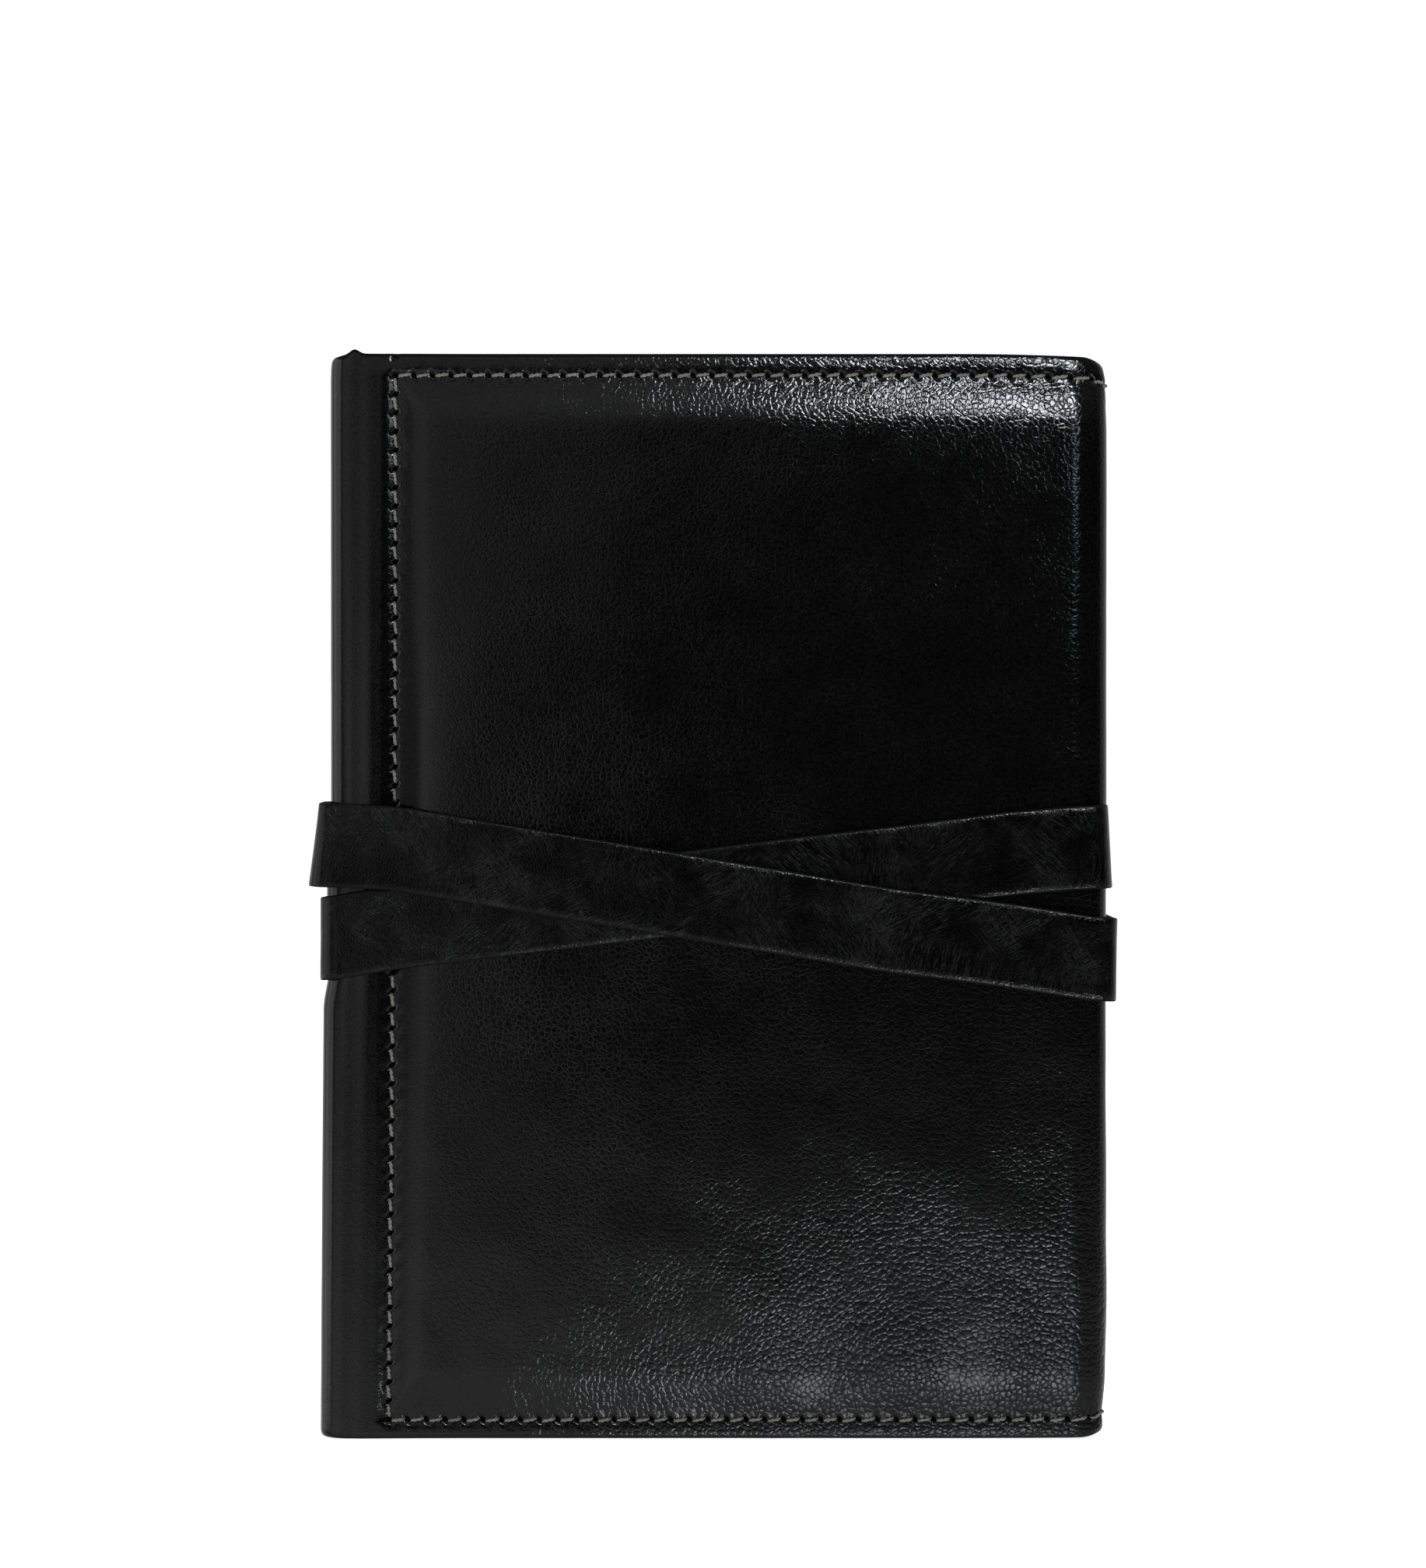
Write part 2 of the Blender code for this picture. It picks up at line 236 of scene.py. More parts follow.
class Look(Nodes):
    """A node material under construction, its textures placed by distance on the surface."""

    def __init__(self, name):
        self.made = bpy.data.materials.new(name)
        self.made.use_nodes = True
        super().__init__(self.made.node_tree)
        self.shader = next(n for n in self.tree.nodes if n.type == "BSDF_PRINCIPLED")
        self.place = self.node("ShaderNodeUVMap").outputs["UV"]

    def stretched(self, scale, turn=0.0):
        """The surface coordinates, turned and then scaled."""
        return self.node("ShaderNodeMapping", {
            "Vector": self.place, "Scale": tuple(1 / k for k in scale),
            "Rotation": (0, 0, turn)}, vector_type="TEXTURE").outputs["Vector"]

    def noise(self, scale, detail=3.0, rough=0.55, vector=None):
        """Cloudy noise, with scale in features per millimetre."""
        return self.node("ShaderNodeTexNoise", {
            "Vector": vector or self.place, "Scale": scale, "Detail": detail,
            "Roughness": rough}).outputs["Fac"]

    def cells(self, scale, feature="F1", vector=None):
        """Distance in a field of cells, with scale in cells per millimetre."""
        return self.node("ShaderNodeTexVoronoi", {
            "Vector": vector or self.place, "Scale": scale}, feature=feature).outputs["Distance"]

    def mix(self, share, low, high):
        """Blend two colours."""
        made = self.tree.nodes.new("ShaderNodeMix")
        made.data_type = "RGBA"
        self.feed(made.inputs["Factor"], share)
        self.feed(made.inputs["A"], (*low, 1.0) if isinstance(low, tuple) else low)
        self.feed(made.inputs["B"], (*high, 1.0) if isinstance(high, tuple) else high)
        return made.outputs["Result"]

    def bump(self, height, depth_mm, under=None, strength=1.0):
        """Bump of a given depth; returns the normal."""
        inputs = {"Height": height, "Distance": depth_mm * MM, "Strength": strength}
        if under is not None:
            inputs["Normal"] = under
        return self.node("ShaderNodeBump", inputs).outputs["Normal"]

    def done(self, **inputs):
        """Feed the shader; names use _ for a space."""
        for key, value in inputs.items():
            self.feed(self.shader.inputs[key.replace("_", " ")], value)
        return self.made


PEBBLES = 0.88  # grain cells per millimetre of leather


def glossy_leather(name):
    """Full-grain leather with a polished finish: fine pebbled grain and soft wrinkles.

    The grain stands up most low down on the fore-edge side, where the cover is handled, and
    the finish is duller there.
    """
    look = Look(name)
    parts = look.node("ShaderNodeSeparateXYZ", {"Vector": look.place}).outputs
    away = look.math("ABSOLUTE", parts["X"])
    drift = look.noise(0.055, 4.0, 0.6)
    low = look.math("MULTIPLY", look.span(parts["Y"], 10, 66, 1.0, 0.0),
                    look.span(away, 46, 120, 0.05, 1.0))
    worked = look.math("MULTIPLY", low, look.span(drift, 0.36, 0.56, 0.30, 1.0))
    top = look.math("MULTIPLY", look.span(parts["Y"], 188, 210, 0.0, 1.0),
                    look.span(away, 60, 110, 0.0, 1.0))
    panel = look.span(away, S_SEAM - 1, S_SEAM + 26, 0.25, 1.0)
    warp = look.node("ShaderNodeTexNoise", {"Vector": look.place, "Scale": 0.35, "Detail": 3.0})
    bent = look.node("ShaderNodeVectorMath", {0: look.place, 1: warp.outputs["Color"]},
                     operation="ADD").outputs[0]
    pebble = look.span(look.cells(PEBBLES, "DISTANCE_TO_EDGE", bent), 0.0, 0.19)
    dome = look.math("POWER", look.cells(PEBBLES, vector=bent), 2.0)
    pore = look.span(look.cells(2.0, "DISTANCE_TO_EDGE", bent), 0.0, 0.3)
    wrinkle = look.noise(0.30, 4.0, 0.6, look.stretched((1.0, 0.6, 1.0), 0.5))
    hammered = look.cells(0.33, "SMOOTH_F1", bent)
    speckle = look.span(look.noise(1.5, 4.0, 0.7), 0.36, 0.68)
    colour = look.mix(speckle, (0.0002, 0.0002, 0.0002), look.mix(
        look.span(drift, 0.35, 0.7), (0.0032, 0.0032, 0.0033), (0.0050, 0.0050, 0.0050)))
    hole = look.node("ShaderNodeAttribute", attribute_name="hole").outputs["Fac"]
    rough = look.math("ADD", look.span(look.noise(0.35, 5.0, 0.65), 0.3, 0.7, 0.07, 0.13),
                      look.math("MULTIPLY", hole, 0.5))
    rough = look.math("ADD", rough, look.math("MULTIPLY", low, 0.13))
    normal = look.bump(wrinkle, 0.014)
    normal = look.bump(hammered, 0.06, normal, worked)
    normal = look.bump(dome, -0.08, normal, worked)
    raised = look.math("MULTIPLY", panel, look.span(drift, 0.35, 0.65, 0.14, 0.30))
    raised = look.math("ADD", raised, look.math("MULTIPLY", worked, 0.30))
    raised = look.math("ADD", raised, look.math("MULTIPLY", top, 0.16))
    normal = look.bump(pebble, 0.055, normal, raised)
    normal = look.bump(pore, 0.005, normal)
    return look.done(Base_Color=colour, Roughness=rough, Normal=normal,
                     Specular_IOR_Level=look.span(hole, 0.15, 0.6, 0.5, 0.02))


def leather_flesh(name):
    """The inner side of the leather: dyed suede with short fibres."""
    look = Look(name)
    fibre = look.noise(3.0, 6.0, 0.75)
    cloud = look.noise(0.12, 3.0, 0.5)
    colour = look.mix(look.span(cloud, 0.3, 0.7), (0.018, 0.017, 0.016), (0.035, 0.033, 0.031))
    return look.done(Base_Color=colour, Roughness=0.92, Normal=look.bump(fibre, 0.06),
                     Specular_IOR_Level=0.2)


# bundles of scratches on the strap: (turn, lines per millimetre, bundles per millimetre)
SCRATCHES = ((0.15, 2.0, 0.045), (-0.75, 1.8, 0.06), (0.95, 1.9, 0.075))


def strap_grain(name, half_width):
    """Strap leather: fine grain, bundles of thin scratches, paler matt cut edges."""
    look = Look(name)
    across = look.node("ShaderNodeSeparateXYZ", {"Vector": look.place}).outputs["Y"]
    edge = look.span(look.math("ABSOLUTE", across), half_width - 0.42, half_width - 0.22)
    grain = look.span(look.cells(1.5, "DISTANCE_TO_EDGE"), 0.0, 0.3)
    lines = 0.0
    for turn, density, patch in SCRATCHES:
        level = look.noise(density, 3.0, 0.6, look.stretched((1.0, 0.08, 1.0), turn))
        thin = look.span(look.math("ABSOLUTE", look.math("SUBTRACT", level, 0.5)), 0.0, 0.020,
                         1.0, 0.0)
        where = look.span(look.noise(patch, 2.0), 0.46, 0.58)
        lines = look.math("MAXIMUM", lines, look.math("MULTIPLY", thin, where))
    speckle = look.span(look.noise(2.4, 4.0, 0.7), 0.35, 0.75)
    tone = look.mix(speckle, (0.0002, 0.0002, 0.0002), (0.0026, 0.0026, 0.0025))
    body = look.mix(lines, tone, (0.013, 0.013, 0.0125))
    colour = look.mix(edge, body, (0.0058, 0.0058, 0.0055))
    rough = look.math("ADD", look.span(look.noise(0.3, 4.0), 0.3, 0.7, 0.08, 0.13),
                      look.math("MULTIPLY", edge, 0.45))
    normal = look.bump(look.noise(0.25, 3.0), 0.03)
    normal = look.bump(lines, 0.006, normal)
    normal = look.bump(grain, 0.016, normal)
    return look.done(Base_Color=colour, Roughness=rough, Normal=normal,
                     Specular_IOR_Level=look.span(edge, 0.0, 1.0, 0.25, 0.04))


def waxed_thread(name):
    """Twisted thread, a dark olive grey with paler fibres and soiled stretches."""
    look = Look(name)
    fibre = look.noise(4.0, 4.0, 0.6, look.stretched((0.4, 3.0, 1.0), 0.5))
    soil = look.noise(0.05, 2.0)
    tone = look.mix(look.span(fibre, 0.3, 0.7), (0.09, 0.087, 0.072), (0.24, 0.232, 0.195))
    colour = look.mix(look.span(soil, 0.4, 0.75, 0.0, 0.45), tone, (0.045, 0.044, 0.038))
    return look.done(Base_Color=colour, Roughness=0.62, Normal=look.bump(fibre, 0.05),
                     Sheen_Weight=0.15)


def woven_lining(name):
    """Fine black lining cloth."""
    look = Look(name)
    warp, weft = (look.node("ShaderNodeTexWave", {
        "Vector": look.place, "Scale": 0.9, "Distortion": 0.6},
        bands_direction=way).outputs["Fac"] for way in "XY")
    weave = look.math("MAXIMUM", warp, weft)
    colour = look.mix(weave, (0.012, 0.012, 0.013), (0.040, 0.040, 0.043))
    return look.done(Base_Color=colour, Roughness=0.85, Normal=look.bump(weave, 0.08),
                     Sheen_Weight=0.2)


def plain_card(name, low, high, rough, fleck):
    """Card or board: a mottled surface with short fibres, placed by position in the object."""
    look = Look(name)
    look.place = look.node("ShaderNodeVectorMath", {
        0: look.node("ShaderNodeTexCoord").outputs["Object"], 1: (1 / MM,) * 3},
        operation="MULTIPLY").outputs[0]
    cloud = look.noise(0.1, 5.0, 0.65)
    fibre = look.noise(1.6, 5.0, 0.7, look.stretched((1.0, 0.3, 1.0), 0.3))
    tone = look.mix(look.span(cloud, 0.3, 0.7), low, high)
    colour = look.mix(look.span(fibre, 0.55, 0.8, 0.0, 0.5), tone, fleck)
    return look.done(Base_Color=colour, Roughness=rough, Normal=look.bump(fibre, 0.03))


def page_paper(name):
    """Cream paper, with a cloudy tone and darker fibre flecks."""
    look = Look(name)
    fibre = look.noise(1.2, 5.0, 0.7)
    cloud = look.noise(0.04, 3.0)
    tone = look.mix(look.span(cloud, 0.3, 0.7), (0.72, 0.66, 0.53), (0.80, 0.75, 0.63))
    colour = look.mix(look.span(fibre, 0.5, 0.8, 0.0, 0.25), tone, (0.60, 0.54, 0.42))
    return look.done(Base_Color=colour, Roughness=0.85, Normal=look.bump(fibre, 0.02))


LEATHER_LOOK = glossy_leather("glossy_black_leather")
FLESH_LOOK = leather_flesh("leather_flesh_side")
THREAD_LOOK = waxed_thread("waxed_thread")
LINING_LOOK = woven_lining("lining_cloth")
PAPER_LOOK = page_paper("cream_paper")
CARD_LOOK = plain_card("black_card", (0.030, 0.030, 0.033), (0.045, 0.045, 0.048), 0.62,
                       (0.075, 0.075, 0.078))
BOARD_LOOK = plain_card("grey_board", (0.27, 0.26, 0.24), (0.34, 0.33, 0.30), 0.9,
                        (0.45, 0.43, 0.39))


# ---- cover leather

# heights and depths of the relief, in millimetres; PILLOW_SHARE is a part of RISE
PILLOW_SHARE = 0.48
SPINE_ROLL = 0.85
BAND_RISE = 0.35
BAND_FALL = 0.05
BAND_BEAD = 0.055
TOP_SLOPE = 0.28
SEAM_PULL = 0.16
EVEN_PUCKER = 0.025
LOOSE_PUCKER = 0.04
HOLE_DEPTH = 0.8
CREASE_DEPTH = 0.045
TOP_CREASE_DEPTH = 0.035
EDGE_PRESS = 0.30
EDGE_WAVE = 0.05


def profile(s):
    """Margin level of the leather in plan, and its outward normal, at distances s.

    From the middle of the spine the line runs to a round corner, along the front, round the
    fore-edge in half an ellipse, and back inside as the sleeve flap.
    """
    s = np.asarray(s, float)
    corner = pi + np.clip((s - S_CORNER) / CORNER_R, 0, pi / 2)
    fore = -pi / 2 + pi * np.clip((s - S_FORE) / (S_FLAP - S_FORE), 0, 1)
    on_front = s >= S_FRONT
    angle = np.where(on_front, fore, corner)
    wide = np.where(on_front, FORE_REACH, CORNER_R)
    deep = np.where(on_front, FORE_R, CORNER_R)
    x = np.where(on_front, FOLD_X + np.clip(s, S_FRONT, S_FORE) - S_FRONT, FOLD_X)
    y = np.where(on_front, FORE_R - MARGIN_Y, -np.clip(s, 0, S_CORNER))
    x = x - np.clip(s - S_FLAP, 0, None) + wide * np.cos(angle)
    y = y + deep * np.sin(angle)
    across, along = np.cos(angle) / wide, np.sin(angle) / deep
    length = np.hypot(across, along)
    return x, y, across / length, along / length


def seam_depth(s, z):
    """Distance inside the seam line: 0 on the rows of stitches, above 0 on the panel.

    The three distances are joined by a smooth minimum, so the panel's corners are rounded.
    """
    sharp = 1.1
    parts = np.stack([s - S_SEAM, z - SEAM_LOW, SEAM_HIGH - z])
    least = parts.min(0)
    return least - np.log(np.exp(-sharp * (parts - least)).sum(0)) / sharp


def hole_pits(s, z):
    """How deep each point lies in a stitch hole, 1 at its middle; holes are slanted slots."""
    slant, half_length, half_width = 0.9, 0.75, 0.34
    deepest = np.zeros_like(s)
    for along, off, pitch, turned in (
            (z - SEAM_LOW, s - S_SEAM, UPRIGHT_PITCH, 1), (s - S_SEAM, z - SEAM_LOW, PITCH, -1),
            (s - S_SEAM, z - SEAM_HIGH, PITCH, -1)):
        step = along - pitch * np.round(along / pitch)
        a = step * cos(slant) + turned * off * sin(slant)
        b = -step * sin(slant) * turned + off * cos(slant)
        pit = np.exp(-((a / half_length) ** 2 + (b / half_width) ** 2))
        deepest = np.maximum(deepest, np.where(along > -0.5 * pitch, pit, 0))
    return deepest


def panel_relief(s, z, depth):
    """The raised panel: a steep rim inside the seam, then a pillow-shaped rise."""
    turning = 1 - smooth((s - S_FORE) / (S_FLAP - S_FORE))
    rim = np.clip(depth - 0.9, 0, None)
    steep = 1 - np.exp(-rim ** 2 / (rim + 1.6) / 2.2)
    rows = np.minimum(z - SEAM_LOW, SEAM_HIGH - z)
    pillow = smooth((np.minimum(1.7 * depth, rows) - 1) / 9.6)
    return RISE * ((1 - PILLOW_SHARE) * steep + PILLOW_SHARE * pillow) * turning


def spine_relief(s, z):
    """The rolled spine: full at the side, a flat band on the front, a fall at the seam.

    Past the seam's ends the fall is long and soft.  The margin slopes down to the top edge.
    """
    height = SPINE_ROLL * (1 - smooth((s - S_CORNER) / (S_FRONT - S_CORNER)))
    band = BAND_RISE - BAND_FALL * np.clip((s - S_BAND) / (S_SEAM - 1.2 - S_BAND), 0, 1)
    beyond = smooth(np.maximum(SEAM_LOW - z, z - SEAM_HIGH) / 1.5)
    height += band * (1 - smooth((s - S_SEAM + 3.0) / (3.2 + 16 * beyond)))
    height += BAND_BEAD * np.exp(-((s - S_SEAM + 4.9) / 1.1) ** 2)
    return height - TOP_SLOPE * smooth((z - SEAM_HIGH - 0.4) / 4.4)


def seam_relief(u, s, z, depth):
    """The seam pulls the leather down, and the leather puckers between the holes."""
    outside = (s > S_SEAM - 2) & (z > SEAM_LOW - 2) & (z < SEAM_HIGH + 2)
    height = -SEAM_PULL * np.exp(-(depth / 0.95) ** 2) * outside
    beside = np.exp(-((np.abs(depth) - 1.4) / 0.7) ** 2) * outside
    beside = beside * np.where(s < S_SEAM, 0.45, 1.0)
    travel = np.where(np.abs(s - S_SEAM) < 2.5, z - SEAM_LOW, s - S_SEAM)
    height += EVEN_PUCKER * beside * np.cos(2 * pi * travel / PITCH)
    height += LOOSE_PUCKER * beside * soft_noise(u, z, 2.1, 11)
    return height - HOLE_DEPTH * hole_pits(s, z)


def worn_relief(u, z, depth):
    """Broad and small waves, and creases where the covers are held and bent."""
    panel = smooth((depth + 1) / 6)
    height = panel * (0.13 * soft_noise(u, z, 41, 1) + 0.07 * soft_noise(u, z, 17, 2))
    height += 0.020 * soft_noise(u, z, 6.5, 3)
    low = smooth((62 - z) / 50) * panel
    height += low * (0.24 * soft_noise(u, z, 14, 4) + 0.03 * soft_noise(u, z, 5, 7))
    slanted = ridges(0.86 * u + 0.5 * z, 0.28 * (0.86 * z - 0.5 * u), 8.5, 5)
    height -= CREASE_DEPTH * low * slanted
    top = smooth((z - 178) / 30) * panel
    return height - TOP_CREASE_DEPTH * top * ridges(0.45 * u + 0.3 * z, z, 7.5, 6)


def edge_relief(u, s, z):
    """The cut edges are pressed round, and wave a little."""
    edge = np.minimum(z, HEIGHT - z)
    height = -EDGE_PRESS * (1 - smooth(edge / 0.9)) ** 2
    height += EDGE_WAVE * soft_noise(u, z, 9, 8) * (1 - smooth(edge / 6))
    return height - EDGE_PRESS * (1 - smooth((S_END - s) / 1.2)) ** 2


def relief(side, s, z):
    """Height of the leather over its margin level, in millimetres."""
    u = -side * s
    depth = seam_depth(s, z)
    return (panel_relief(s, z, depth) + spine_relief(s, z) + seam_relief(u, s, z, depth)
            + worn_relief(u, z, depth) + edge_relief(u, s, z))


def worn_height(s, z):
    """Height of a point, with the corners of the cover rounded and its top edge uneven."""
    turn = smooth((s - S_FORE - 2) / 6)
    fore = 0.7 * np.clip((s - S_FORE + 22) / 26, 0, 1) ** 2
    spine = 1 - smooth((s - S_CORNER + 1) / 7)
    up = smooth((z - HEIGHT + 20) / 20)
    down = smooth((14 - z) / 14)
    lump = 0.9 * np.exp(-((s - S_BAND + 2.2) / 1.1) ** 2) * smooth((z - HEIGHT + 4) / 4)
    return z + lump - (fore + 1.3 * turn + spine) * up + (0.2 * fore + turn + 0.4 * spine) * down


def bulge(s, z):
    """How far the ends of the fore-edge fold stand out, just inside its seams."""
    top = np.exp(-((z - SEAM_HIGH) / 4.5) ** 2)
    return (0.45 + 0.6 * top) * smooth((s - S_FORE + 6) / 6)


def skin(side, s, z, lift):
    """Points of a cover's leather; lift is the height over the margin level."""
    x, y, nx, ny = profile(s)
    points = np.stack([x + nx * lift + bulge(s, z), -side * (y + ny * lift),
                       worn_height(s, z)], axis=1)
    return skewed(points)


def seam_distance(s, z):
    """Distance to the nearest stitch row, for choosing how fine the mesh is."""
    rows = np.minimum(np.abs(z - SEAM_LOW), np.abs(z - SEAM_HIGH))
    rows = np.where(s < S_SEAM, np.hypot(rows, S_SEAM - s), rows)
    beyond = np.maximum(np.maximum(SEAM_LOW - z, z - SEAM_HIGH), 0)
    return np.minimum(rows, np.hypot(s - S_SEAM, beyond))


def outer_level(s, z, reach):
    """How often a cell of the outer leather is halved."""
    gap = seam_distance(s, z) - reach
    edge = np.minimum(z, HEIGHT - z) - reach
    level = np.where(s < S_FLAP, 1, 0)
    level = np.where((gap < 9) & (s < S_FLAP), 2, level)
    level = np.where((edge < 1.4) | (gap < 2.4), 3, level)
    return np.where(gap < 0.9, 4, level)


def inner_level(s, z, reach):
    """The same for the hidden side of the leather, which is finer only near its ends."""
    return np.where(np.minimum(z, HEIGHT - z) < 2, 1, 0)


def adaptive_cells(s_lines, z_lines, level_at, deepest, extra=()):
    """Polygons over a rectangle, halved where level_at asks for it.

    Points have whole-number coordinates, in 2 ** -deepest of a cell.  A polygon takes up every
    point on its border, so that coarse and fine cells share them.  extra gives such points.
    """
    unit = 2 ** deepest
    i, j = np.meshgrid(np.arange(len(s_lines) - 1), np.arange(len(z_lines) - 1), indexing="ij")
    cells = np.stack([i.ravel() * unit, j.ravel() * unit], axis=1)
    size, leaves = unit, []
    for level in range(deepest + 1):
        low = to_surface(cells, s_lines, z_lines, unit)
        high = to_surface(cells + size, s_lines, z_lines, unit)
        middle, reach = (low + high) / 2, np.abs(high - low).max(1) / 2
        split = level_at(middle[:, 0], middle[:, 1], reach) > level
        split &= level < deepest
        leaves += [(x, y, size) for x, y in cells[~split].tolist()]
        size //= 2
        steps = np.array([(0, 0), (size, 0), (0, size), (size, size)])
        cells = (cells[split][:, None, :] + steps).reshape(-1, 2)
    used = {(x + dx, y + dy) for x, y, k in leaves for dx in (0, k) for dy in (0, k)}
    used |= set(extra)
    index = {p: n for n, p in enumerate(sorted(used))}
    faces = []
    for x, y, k in leaves:
        border = [(x + t, y) for t in range(k)] + [(x + k, y + t) for t in range(k)]
        border += [(x + k - t, y + k) for t in range(k)] + [(x, y + k - t) for t in range(k)]
        faces.append([index[p] for p in border if p in index])
    return index, faces


def to_surface(points, s_lines, z_lines, unit):
    """Whole-number grid coordinates as distances along the leather and heights."""
    s = np.interp(points[:, 0] / unit, np.arange(len(s_lines)), s_lines)
    z = np.interp(points[:, 1] / unit, np.arange(len(z_lines)), z_lines)
    return np.stack([s, z], axis=1)


def lines_between(stops, steps):
    """Grid lines with a given spacing in each stretch between stops."""
    lines = [stops[0]]
    for low, high, step in zip(stops, stops[1:], steps):
        count = max(1, round((high - low) / step))
        lines += [low + (high - low) * (n + 1) / count for n in range(count)]
    return np.array(lines)


def cover_skin(side, label):
    """The leather of one cover with its half of the spine, as one closed sheet."""
    deepest = 4
    unit = 2 ** deepest
    s_lines = lines_between((0, S_CORNER, S_FRONT, S_SEAM - 3, S_SEAM + 6, S_FORE, S_FLAP, S_END),
                            (3.0, 1.5, 2.6, 3.4, 3.8, 1.5, 3.8))
    z_lines = lines_between((0, SEAM_LOW, SEAM_HIGH, HEIGHT), (3.8, 3.8, 4.4))
    outer, faces = adaptive_cells(s_lines, z_lines, outer_level, deepest)
    last = ((len(s_lines) - 1) * unit, (len(z_lines) - 1) * unit)
    rim = [p for p in outer if p[0] in (0, last[0]) or p[1] in (0, last[1])]
    inner, inner_faces = adaptive_cells(s_lines, z_lines, inner_level, deepest, rim)

    out_places = to_surface(np.array(list(outer)), s_lines, z_lines, unit)
    in_places = to_surface(np.array(list(inner)), s_lines, z_lines, unit)
    height = relief(side, *out_places.T)
    under = relief(side, *in_places.T)
    pits = hole_pits(*in_places.T)
    points = np.concatenate([skin(side, *out_places.T, height),
                             skin(side, *in_places.T, under + 0.75 * pits - LEATHER)])
    shift = len(outer)
    outer_count = len(faces)
    faces = faces + [[n + shift for n in reversed(face)] for face in inner_faces]

    bottom = sorted(p for p in rim if p[1] == 0)
    right = sorted(p for p in rim if p[0] == last[0])
    top = sorted((p for p in rim if p[1] == last[1]), reverse=True)
    left = sorted((p for p in rim if p[0] == 0), reverse=True)
    loop = bottom[:-1] + right[:-1] + top[:-1] + left[:-1]
    for a, b in zip(loop, loop[1:] + loop[:1]):
        faces.append([outer[b], outer[a], inner[a] + shift, inner[b] + shift])

    places = np.concatenate([out_places, in_places])
    uvs = np.stack([-side * places[:, 0], places[:, 1]], axis=1)
    slots = np.ones(len(faces), int)
    slots[:outer_count] = 0
    piece = make_object(f"{label}_cover_skin", points, faces, [LEATHER_LOOK, FLESH_LOOK], uvs,
                        slots, sharp=50)
    hole = piece.data.attributes.new("hole", "FLOAT", "POINT")
    hole.data.foreach_set("value", hole_pits(*places.T).astype(np.float32))
    return piece


# ---- stitches

STRAND_SIDES = 6
STRAND_STEPS = 12


def strand_ring(centre, across, up, radius):
    """Points of a round section of one strand."""
    turns = np.arange(STRAND_SIDES) * 2 * pi / STRAND_SIDES
    return centre + radius * (np.outer(np.cos(turns), across) + np.outer(np.sin(turns), up))


def twisted_stitch(start, end, up, width=0.22, arch=0.30, dive=0.75, turns=1.5):
    """One stitch of two-ply thread from hole to hole, as two twisted strands.

    width is a strand's radius, arch the stitch's height and dive how deep its ends go.
    """
    start, end, up = (np.asarray(v, float) for v in (start, end, up))
    length = np.linalg.norm(end - start)
    across = np.cross((end - start) / length, up)
    apart = width * 0.62
    points, faces, uvs = [], [], []
    for ply in range(2):
        rings = []
        for n in range(STRAND_STEPS + 1):
            t = n / STRAND_STEPS
            rise = arch - (arch + dive) * abs(2 * t - 1) ** 5
            turn = 2 * pi * turns * t + pi * ply
            taper = 1 - 0.25 * abs(2 * t - 1) ** 4
            middle = start + (end - start) * t + up * (rise + apart * sin(turn))
            middle = middle + across * apart * cos(turn)
            rings.append(strand_ring(middle, across, up, width * taper))
        ring_points, ring_faces = lofted(rings)
        shift = sum(len(p) for p in points)
        points.append(ring_points)
        faces += [tuple(k + shift for k in face) for face in ring_faces]
        run = np.repeat(np.arange(STRAND_STEPS + 1) / STRAND_STEPS, STRAND_SIDES) * length
        round_it = np.tile(np.arange(STRAND_SIDES), STRAND_STEPS + 1) * 0.28
        uvs.append(np.stack([run + start.sum() * 7.3, round_it + ply * 3.1], axis=1))
    return np.concatenate(points), faces, np.concatenate(uvs)


def gather(stitches, name):
    """Join many stitches into one object."""
    points, faces, uvs, shift = [], [], [], 0
    for part_points, part_faces, part_uvs in stitches:
        points.append(part_points)
        uvs.append(part_uvs)
        faces += [tuple(k + shift for k in face) for face in part_faces]
        shift += len(part_points)
    piece = make_object(name, np.concatenate(points), faces, [THREAD_LOOK],
                        np.concatenate(uvs), sharp=80)
    return piece


def row_of_stitches(side, start, end, pitch, tilt, rng):
    """Stitches along a straight row on the leather; start and end are (s, z).

    Each stitch leans by tilt off the row and ends a little short of its two holes.
    """
    short = 0.42
    start, end = np.array(start, float), np.array(end, float)
    length = np.abs(end - start).sum()
    way = (end - start) / length
    off = np.array([-way[1], way[0]])
    stitches = []
    for n in range(int(round(length / pitch))):
        slip = rng.uniform(-0.06, 0.06, 2)
        lean = tilt * rng.uniform(0.7, 1.3)
        a = start + way * (n * pitch + short + slip[0]) - off * (lean + slip[1])
        b = start + way * ((n + 1) * pitch - short + slip[0]) + off * (lean - slip[1])
        ends = np.stack([a, b])
        middle = ends.mean(0, keepdims=True)
        ground = relief(side, *middle.T) - 0.02
        points = skin(side, *ends.T, np.repeat(ground, 2))
        over = skin(side, *middle.T, ground + 1)[0] - skin(side, *middle.T, ground)[0]
        swell = skin(side, *middle.T, ground)[0] - points.mean(0)
        arch = 0.30 + float(np.dot(swell, over))
        stitches.append(twisted_stitch(points[0], points[1], over, arch=arch,
                                       width=0.22 * rng.uniform(0.92, 1.08)))
    return stitches


